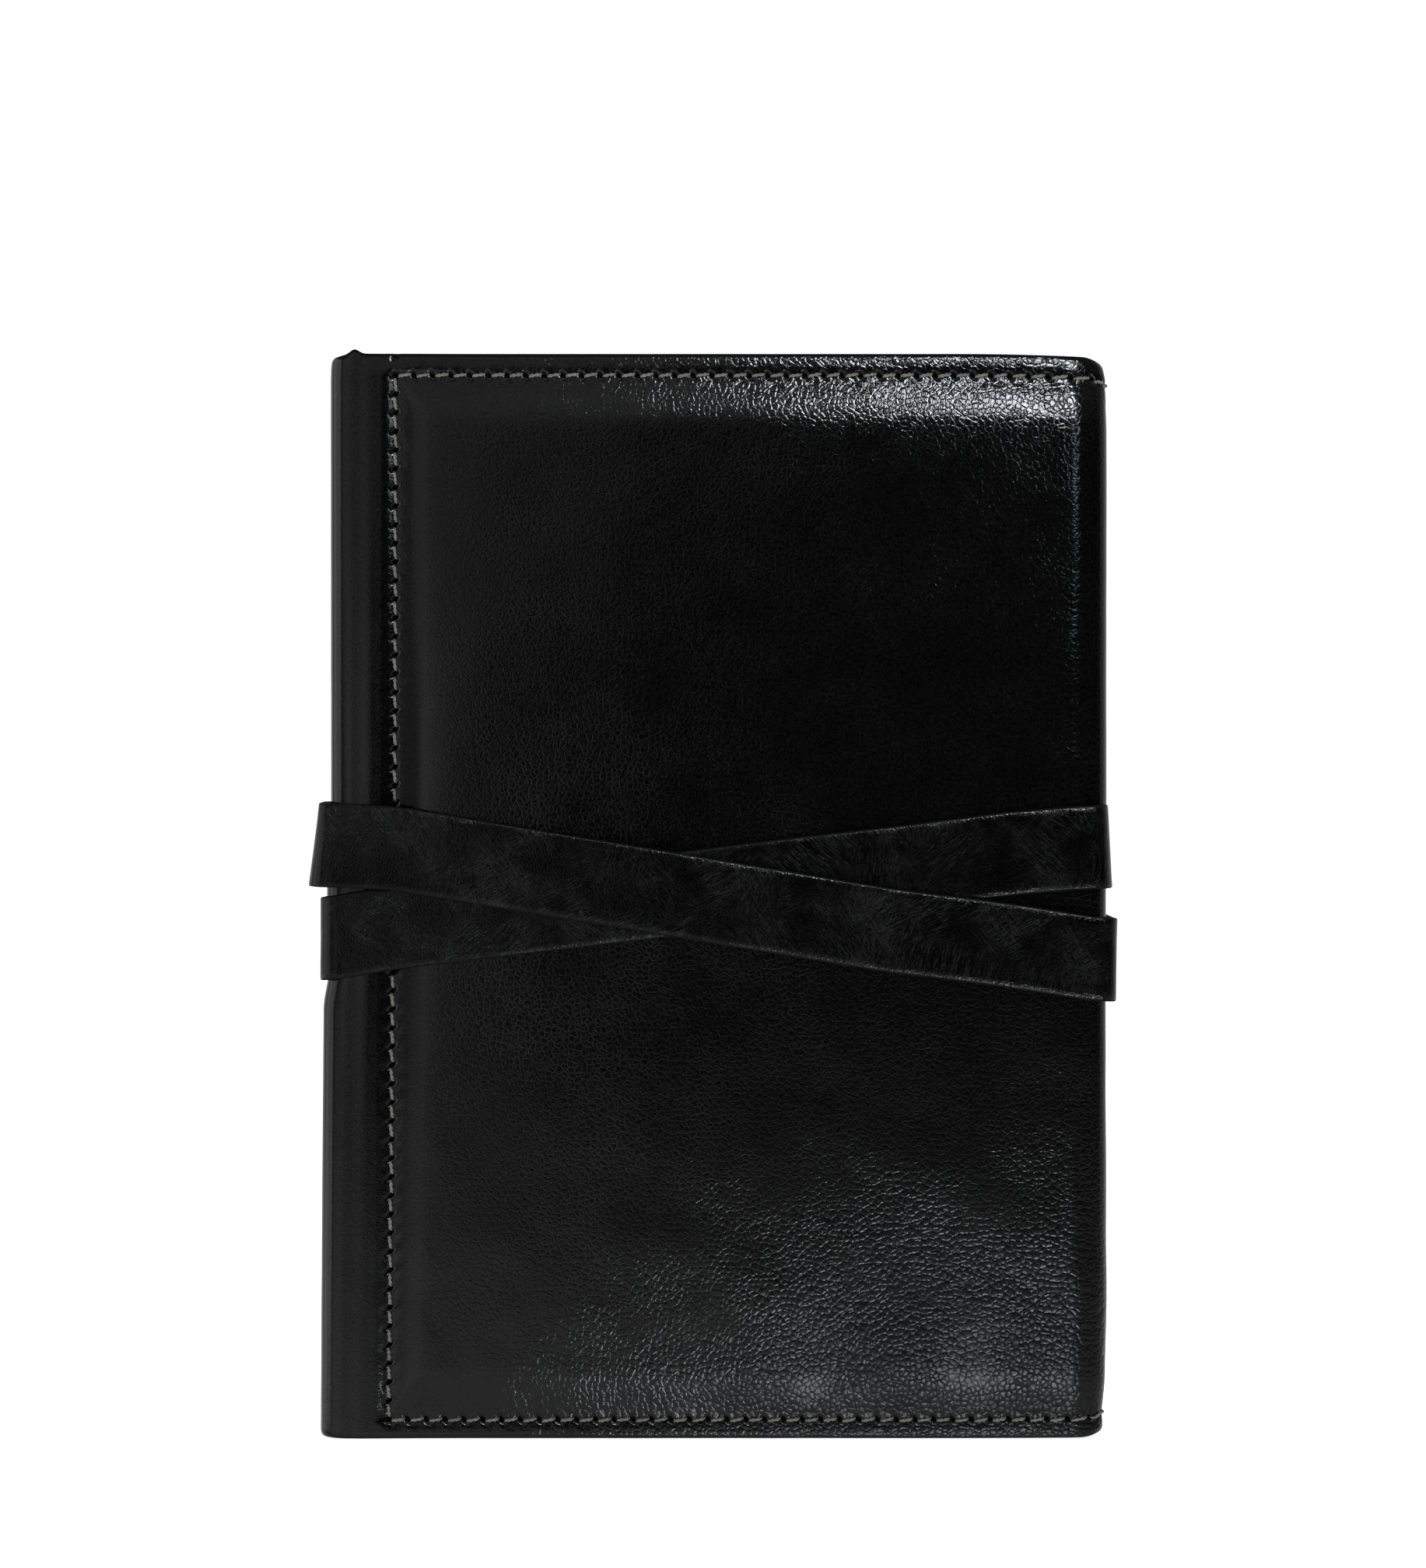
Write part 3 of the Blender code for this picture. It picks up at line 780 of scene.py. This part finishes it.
def seam_stitches(side, label):
    """The seam of one cover: spine-side row, and two rows that go on round the fore-edge."""
    rng = np.random.RandomState(20 + side)
    stitches = row_of_stitches(side, (S_SEAM, SEAM_LOW), (S_SEAM, SEAM_HIGH), UPRIGHT_PITCH,
                               0.17, rng)
    reach = S_SEAM + PITCH * int((S_END - 3 - S_SEAM) / PITCH)
    for z in (SEAM_LOW, SEAM_HIGH):
        stitches += row_of_stitches(side, (S_SEAM, z), (reach, z), PITCH, 0.25, rng)
    piece = gather(stitches, f"{label}_seam_stitches")
    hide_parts(f"{label}_seam_thread")
    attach(piece, f"{label}_cover")


# ---- wrap strap

STRAP_HALF = 8.45
STRAP_THICK = 1.2
STRAP_BEND = 3.0

# points of the strap's section along a flat face, and round a cut edge
FLAT_POINTS = 15
EDGE_POINTS = 4

# how far the two front passes bow up from a straight line: (x, height)
UNDER_BOW = ((-79, -0.3), (-72, 0.5), (-58, 0.6), (60, 0.7), (79, 0.0))
OVER_BOW = ((-80, -0.2), (-65, 1.3), (36, -0.6), (79, -0.2))

# where the strap stands off as it turns: (first corner, spread, at its top, at its bottom edge)
STAND_OFFS = ((6, 22.0, -1.8, 1.0), (0, 17.0, -0.4, 1.1), (4, 17.0, 0.0, -0.4),
              (2, 17.0, 0.1, 0.2))
STRAP_BODIES = ("back_cover", "strap_fore_turn_1", "strap_front_pass_1", "strap_spine_turn_1",
                "strap_back_pass", "strap_fore_turn_2", "strap_front_pass_2",
                "strap_spine_turn_2", "strap_tail")
STRAP_LOOK = strap_grain("matte_strap_leather", STRAP_HALF)


def strap_stations(step=0.8):
    """The strap's middle line from root to tip: arc length, plan, outward normal, height."""
    corners = [joint[:2] for joint in STRAP_JOINTS]
    turns = ("strap_fore_turn_1", "strap_spine_turn_1", "strap_fore_turn_2", "strap_spine_turn_2")
    heights = np.repeat([sum(corner[2] for corner in node_box(name)) / 2 for name in turns], 2)
    tail_low, tail_high = node_box("strap_tail")
    start = np.array([node_box("strap_root")[0][0], corners[0][1]])
    finish = np.array([tail_high[0], corners[-1][1]])
    tip_z = tail_low[2] + 5.4
    stops = [start, *corners, finish]
    levels = [heights[0], *heights, tip_z]
    plan, normal, z = [], [], []
    for n in range(len(stops) - 1):
        way, out, length = straight(stops[n], stops[n + 1])
        trim_a = STRAP_BEND if n else 0.0
        trim_b = STRAP_BEND if n < len(stops) - 2 else 0.0
        count = max(4, round((length - trim_a - trim_b) / step))
        for t in np.linspace(trim_a, length - trim_b, count + 1):
            plan.append(stops[n] + way * t)
            normal.append(out)
            z.append(levels[n] + (levels[n + 1] - levels[n]) * t / length)
        if n < len(stops) - 2:
            turn_out = straight(stops[n + 1], stops[n + 2])[1]
            centre = stops[n + 1] - out * STRAP_BEND - turn_out * STRAP_BEND
            for t in np.linspace(0, pi / 2, 9)[1:-1]:
                direction = out * cos(t) + turn_out * sin(t)
                plan.append(centre + direction * STRAP_BEND)
                normal.append(direction)
                z.append(levels[n + 1])
    plan, normal, z = np.array(plan), np.array(normal), np.array(z)
    run = np.concatenate([[0], np.cumsum(np.linalg.norm(np.diff(plan, axis=0), axis=1))])
    return run, plan, normal, eased_heights(run, plan, z)


def straight(a, b):
    """Direction, outward normal and length of a straight stretch in plan."""
    length = np.linalg.norm(b - a)
    way = (b - a) / length
    return way, np.array([-way[1], way[0]]), length


def eased_heights(run, plan, z):
    """Heights along the strap with softened bends, and the bow of its two front passes."""
    even = np.arange(0, run[-1], 1.0)
    soft = np.interp(run, even, soften(np.interp(even, run, z), 15))
    on_front = plan[:, 1] < -STRAP_JOINTS[0][1] + 1
    under = np.interp(plan[:, 0], *zip(*UNDER_BOW))
    over = np.interp(plan[:, 0], *zip(*OVER_BOW))
    bow = np.interp(even, run, on_front * np.where(run < run[-1] / 2, under, over))
    return soft + np.interp(run, even, soften(bow, 9))


def strap_section(half):
    """Cross-section of the strap with its cut edges rounded: (across, thickness) points."""
    t = STRAP_THICK / 2
    outer = [(half - 0.42) * v for v in np.linspace(-1, 1, FLAT_POINTS)]
    points = [(v, t) for v in outer]
    points += [(half - 0.10, t - 0.14), (half, t - 0.42), (half, -t + 0.30),
               (half - 0.14, -t + 0.05)]
    points += [(v, -t) for v in reversed(outer)]
    points += [(-half + 0.14, -t + 0.05), (-half, -t + 0.30), (-half, t - 0.42),
               (-half + 0.10, t - 0.14)]
    return np.array(points)


def stand_off(run, turns, across):
    """How far the strap stands off where it turns, more along one edge: millimetres."""
    off = np.zeros_like(across)
    for middle, spread, top, bottom in turns:
        window = np.exp(-((run - middle) / spread) ** 2)
        share = (across / STRAP_HALF + 1) / 2
        off += window * (bottom + (top - bottom) * share)
    return off


def corner_levels(corners, plan, z):
    """Height of the strap at each corner, walking along it."""
    levels, start = [], 0
    for corner in corners:
        near = np.linalg.norm(plan[start:] - corner, axis=1)
        first = start + int(np.argmax(near < STRAP_BEND))
        levels.append(z[first])
        start = first + 8
    return levels


def build_strap():
    """Sections along the whole strap: arc length, where its corners lie, rings and uvs."""
    run, plan, normal, z = strap_stations()
    corners = [joint[:2] for joint in STRAP_JOINTS]
    marks = [run[np.argmin(np.linalg.norm(plan - c, axis=1) + 1000 * (np.abs(z - level) > 12))]
             for c, level in zip(corners, corner_levels(corners, plan, z))]
    turns = [(sum(marks[first:first + 2]) / 2, *shape) for first, *shape in STAND_OFFS]
    tangent = np.gradient(np.column_stack([plan, z]), axis=0)
    tangent /= np.linalg.norm(tangent, axis=1)[:, None]
    rings, uvs = [], []
    total = run[-1]
    for n in range(len(run)):
        round_end = min(run[n], total - run[n])
        reach = 9.0 if total - run[n] < 20 else 3.0
        tip = 1 - 0.42 * (1 - min(1.0, round_end / reach)) ** 1.6
        section = strap_section(STRAP_HALF * tip)
        out = np.array([normal[n][0], normal[n][1], 0.0])
        wide = np.cross(tangent[n], out)
        wide = wide if wide[2] > 0 else -wide
        across = section[:, 0]
        wave = 0.10 * soft_noise(np.full_like(across, run[n]), across, 13, 31)
        wave += 0.05 * soft_noise(np.full_like(across, run[n]), across, 5, 32)
        lift = section[:, 1] + stand_off(run[n], turns, across) + np.maximum(wave, -0.12)
        sway = 0.18 * soft_noise(run[n:n + 1], np.zeros(1), 24, 33)[0]
        centre = np.array([plan[n][0], plan[n][1], z[n] + sway])
        rings.append(centre + np.outer(across, wide) + np.outer(lift, out))
        uvs.append(np.column_stack([np.full_like(across, run[n]), across / tip]))
    return run, marks, rings, uvs


def strap_pieces():
    """Cut the strap midway between corners, so that each piece takes in the bend round one
    corner.
    """
    run, marks, rings, uvs = build_strap()
    cuts = [0] + [int(np.argmin(np.abs(run - (a + b) / 2))) for a, b in zip(marks, marks[1:])]
    cuts += [len(run) - 1]
    first_inner = FLAT_POINTS + EDGE_POINTS
    inner = range(first_inner, first_inner + FLAT_POINTS - 1)
    ring_slots = [int(k in inner) for k in range(len(rings[0]))]
    for n, corner in enumerate(STRAP_JOINTS):
        span = slice(cuts[n], cuts[n + 1] + 1)
        points, faces = lofted(rings[span])
        slots = ring_slots * (cuts[n + 1] - cuts[n]) + [0, 0]
        piece = make_object(f"strap_part_{n + 1}", points, faces, [STRAP_LOOK, FLESH_LOOK],
                            np.concatenate(uvs[span]), slots, sharp=60)
        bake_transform(piece)
        nodes = [STRAP_BODIES[n + 1]] + (["strap_root"] if n == 0 else [])
        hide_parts(*nodes)


ROOT_PITCH = 2.9


def root_stitches():
    """Box stitch through the root of the strap."""
    low, high = node_box("strap_root_thread")
    y = node_box("strap_root")[1][1]
    rng = np.random.RandomState(7)
    corners = [(low[0], low[2]), (high[0], low[2]), (high[0], high[2]), (low[0], high[2])]
    stitches = []
    for a, b in zip(corners, corners[1:] + corners[:1]):
        a, b = np.array([a[0], y, a[1]]), np.array([b[0], y, b[1]])
        count = round(np.linalg.norm(b - a) / ROOT_PITCH)
        for n in range(count):
            p, q = a + (b - a) * (n + 0.12) / count, a + (b - a) * (n + 0.88) / count
            stitches.append(twisted_stitch(p, q, (0, 1, 0), arch=0.2, dive=0.6,
                                           width=0.24 * rng.uniform(0.95, 1.05)))
    piece = gather(stitches, "strap_root_stitches")
    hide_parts("strap_root_thread")
    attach(piece, "back_cover")


# ---- notebook

BUNDLES = 14
BUNDLE_GAP = 0.015  # half of the gap between two bundles
PAGE_CORNER = 3.5


def page_block(name, node, body, seed):
    """Half of the notebook's leaves: thin bundles whose cut edges don't quite line up."""
    low, high = node_box(node)
    rng = np.random.RandomState(seed)
    thick = (high[1] - low[1]) / BUNDLES
    points, faces = [], []
    for n in range(BUNDLES):
        y0, y1 = low[1] + n * thick + BUNDLE_GAP, low[1] + (n + 1) * thick - BUNDLE_GAP
        right = high[0] - rng.uniform(0.0, 0.35)
        bottom, top = low[2] + rng.uniform(0.0, 0.2), high[2] - rng.uniform(0.0, 0.25)
        outline = [(low[0], bottom),
                   *corner_arc(right - PAGE_CORNER, bottom + PAGE_CORNER, PAGE_CORNER, -90),
                   *corner_arc(right - PAGE_CORNER, top - PAGE_CORNER, PAGE_CORNER, 0),
                   (low[0], top)]
        for y in (y0, y1):
            points += [(x, y, z) for x, z in outline]
        count = len(outline)
        first = n * 2 * count
        ring = list(range(first, first + count))
        faces.append(ring)
        faces.append([k + count for k in reversed(ring)])
        faces += [[ring[k], ring[(k + 1) % count], ring[(k + 1) % count] + count,
                   ring[k] + count] for k in range(count)]
    points = np.array(points)
    uvs = np.column_stack([points[:, 0], points[:, 2] + points[:, 1] * 3])
    piece = make_object(name, points, faces, [PAPER_LOOK], uvs, sharp=30)
    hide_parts(node)
    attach(piece, body)


def corner_arc(x, z, radius, start):
    """A quarter round corner, from an angle in degrees."""
    return [(x + radius * cos(radians(start + 15 * n)), z + radius * sin(radians(start + 15 * n)))
            for n in range(7)]


def lining_sheet(node, body, thin_axis, seed):
    """Lining cloth with a slightly wavy cut edge."""
    low, high = node_box(node)
    wide_axis = 1 - thin_axis
    count_u, count_z = max(3, round((high[wide_axis] - low[wide_axis]) / 3.5)), 60
    u = np.linspace(low[wide_axis], high[wide_axis], count_u + 1)
    z = np.linspace(low[2], high[2], count_z + 1)
    grid_u, grid_z = (g.ravel() for g in np.meshgrid(u, z, indexing="ij"))
    wave = 0.08 * soft_noise(grid_u, grid_z, 14, seed)
    near_end = np.where(grid_z < HEIGHT / 2, 1, -1) * (1 - smooth(np.minimum(
        grid_z - low[2], high[2] - grid_z) / 8))
    grid_z = grid_z + 0.25 * near_end * (1 + soft_noise(grid_u, grid_z, 5, seed + 1))
    points = np.zeros((2 * len(grid_u), 3))
    for n, level in enumerate((low[thin_axis] + 0.1, high[thin_axis] - 0.1)):
        part = slice(n * len(grid_u), (n + 1) * len(grid_u))
        points[part, wide_axis] = grid_u
        points[part, thin_axis] = level + wave
        points[part, 2] = grid_z
    row = count_z + 1
    shift = len(grid_u)
    faces = []
    for i in range(count_u):
        for j in range(count_z):
            quad = (i * row + j, (i + 1) * row + j, (i + 1) * row + j + 1, i * row + j + 1)
            faces += [quad, tuple(k + shift for k in reversed(quad))]
    loop = ([i * row for i in range(count_u)] + [count_u * row + j for j in range(count_z)]
            + [i * row + count_z for i in range(count_u, 0, -1)] + list(range(count_z, 0, -1)))
    faces += [(b, a, a + shift, b + shift) for a, b in zip(loop, loop[1:] + loop[:1])]
    uvs = np.column_stack([np.tile(grid_u, 2), np.tile(grid_z, 2)])
    piece = make_object(f"{node}_cloth", skewed(points), faces, [LINING_LOOK], uvs)
    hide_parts(node)
    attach(piece, body)


# ---- build


def build_covers():
    """Both covers: leather, seam and lining."""
    front = cover_skin(-1, "front")
    back = cover_skin(1, "back")
    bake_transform(front)
    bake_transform(back)
    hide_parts("front_panel_leather", "spine_leather")
    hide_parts("back_panel_leather")
    for side, label in ((-1, "front"), (1, "back")):
        seam_stitches(side, label)
        lining_sheet(f"{label}_lining", f"{label}_cover", 1, 50 + side)
    lining_sheet("spine_lining", "spine", 0, 60)


def paint_frame():
    """Give the CAD nodes that stay in view their materials."""
    for name in ("insert_front_cover", "insert_back_cover", "insert_spine"):
        paint(name, CARD_LOOK)
    for name in ("front_board", "back_board"):
        paint(name, BOARD_LOOK)


def paint(name, look):
    """Replace a CAD node's material."""
    node = frame["nodes"][name]
    node.data.materials.clear()
    node.data.materials.append(look)


# ---- stage

WHITE = (1.0, 1.0, 1.0, 1.0)
CAMERA_PLACE = (-0.0004, -0.613, 0.1327)
CAMERA_LENS = 68.1

# area lights: (name, place, target, size, glow, roll, colour)
COOL = (0.88, 0.94, 1.0)
LIGHTS = (
    ("key_wide", (0.215, -1.10, 0.735), (0.04, 0, 0.20), (0.17, 0.22), 1.7, 0, COOL),
    ("key_right", (0.225, -1.08, 0.735), (0.05, 0, 0.20), (0.16, 0.23), 27.0, 0, COOL),
    ("key_strip", (0.37, -1.04, 0.53), (0.07, 0, 0.19), (0.10, 0.42), 4.0, 0, COOL),
    ("low_right", (0.19, -1.10, -0.46), (0.04, 0, 0.02), (0.16, 0.30), 9.0, 0, COOL),
    ("left_fill", (-0.84, -1.30, 0.20), (-0.03, 0, 0.12), (1.20, 1.45), 0.15),
    ("veil_high", (-0.48, -1.28, 0.68), (-0.48, 0, 0.68), (1.0, 1.2), 0.20, -21),
    ("veil_low", (-0.52, -1.28, -0.46), (-0.52, 0, -0.46), (1.0, 1.2), 0.14, 19),
    ("left_side", (-1.26, -0.34, 0.30), (-0.08, 0, 0.12), (1.1, 1.2), 0.9),
    ("overhead", (0.0, 0.10, 1.5), (0, 0, 0), (1.2, 1.2), 1.3),
)

# what reflections see of the surroundings: (axis, from, to, glow at the far end)
WORLD_FRONT = 0.004
WORLD_GLOW = (("Y", -0.3, 0.6, 0.8), ("Z", 0.18, 0.45, 0.10), ("Z", -0.11, -0.20, 0.30))


def area_light(name, place, target, size, glow, roll=0.0, colour=(1.0, 1.0, 1.0)):
    """A soft rectangular light aimed at a point; sizes in metres, glow as seen radiance."""
    data = bpy.data.lights.new(name, "AREA")
    data.shape = "RECTANGLE"
    data.color = colour
    data.size, data.size_y = size
    data.energy = glow * pi * size[0] * size[1]
    made = bpy.data.objects.new(name, data)
    made.location = place
    aim = (Vector(target) - Vector(place)).to_track_quat("-Z", "Y")
    made.rotation_euler = (aim @ Quaternion((0, 0, 1), radians(roll))).to_euler()
    bpy.context.scene.collection.objects.link(made)


def build_floor():
    """A plain pale floor that takes a faint shadow but stays out of reflections, and glows with
    painted light: white far off, dimmer near the book.
    """
    look = Look("pale_floor")
    place = look.node("ShaderNodeTexCoord").outputs["Object"]
    away = look.node("ShaderNodeVectorMath", {0: place}, operation="LENGTH").outputs["Value"]
    tone = look.mix(look.noise(2.0, vector=place), (0.84, 0.84, 0.84), (0.86, 0.86, 0.86))
    # painted light: the floor's glow stands in for studio light, full far off and weaker near the
    # book, which paints a faint shade round it
    look.done(Base_Color=tone, Roughness=1.0, Specular_IOR_Level=0.0,
              Emission_Color=WHITE,
              Emission_Strength=look.span(away, 0.10, 0.8, 0.80, 1.0))
    mesh = bpy.data.meshes.new("floor")
    shape = bmesh.new()
    bmesh.ops.create_circle(shape, cap_ends=True, radius=4.0, segments=64)
    shape.to_mesh(mesh)
    shape.free()
    mesh.materials.append(look.made)
    floor = bpy.data.objects.new("floor", mesh)
    floor.location.z = -0.2 * MM
    floor.visible_glossy = False
    floor.visible_shadow = False
    bpy.context.scene.collection.objects.link(floor)


def build_world():
    """White to the camera; in reflections dim in front, lighter above, below and behind."""
    world = bpy.data.worlds.new("studio")
    bpy.context.scene.world = world
    world.use_nodes = True
    world.node_tree.nodes.clear()
    sky = Nodes(world.node_tree)
    place = sky.node("ShaderNodeTexCoord").outputs["Generated"]
    parts = sky.node("ShaderNodeSeparateXYZ", {"Vector": place}).outputs
    glow = WORLD_FRONT
    for axis, start, end, far_glow in WORLD_GLOW:
        glow = sky.math("ADD", sky.span(parts[axis], start, end, 0.0, far_glow), glow)
    seen = sky.node("ShaderNodeBackground", {"Color": WHITE, "Strength": 1.05})
    lit = sky.node("ShaderNodeBackground", {"Color": WHITE, "Strength": glow})
    path = sky.node("ShaderNodeLightPath")
    mix = sky.node("ShaderNodeMixShader", {"Fac": path.outputs["Is Camera Ray"],
                                           1: lit.outputs[0], 2: seen.outputs[0]})
    sky.node("ShaderNodeOutputWorld", {"Surface": mix.outputs[0]})


def build_camera():
    """The photograph's view: straight at the front cover, from a little above its middle."""
    data = bpy.data.cameras.new("camera")
    data.sensor_width = 36.0
    data.lens = CAMERA_LENS
    camera = bpy.data.objects.new("camera", data)
    camera.location = CAMERA_PLACE
    camera.rotation_euler = (radians(90), 0.0, 0.0)
    bpy.context.scene.collection.objects.link(camera)
    bpy.context.scene.camera = camera


def build_lights():
    """Plain soft studio light: cool window light from the right, dim panels on the left."""
    for light in LIGHTS:
        area_light(*light)
    bpy.context.scene.view_settings.view_transform = "Standard"


build_covers()
strap_pieces()
root_stitches()
page_block("front_leaves", "insert_front_pages", "front_pages", 3)
page_block("rear_leaves", "insert_rear_pages", "back_cover", 4)
paint_frame()
build_floor()
build_world()
build_camera()
build_lights()
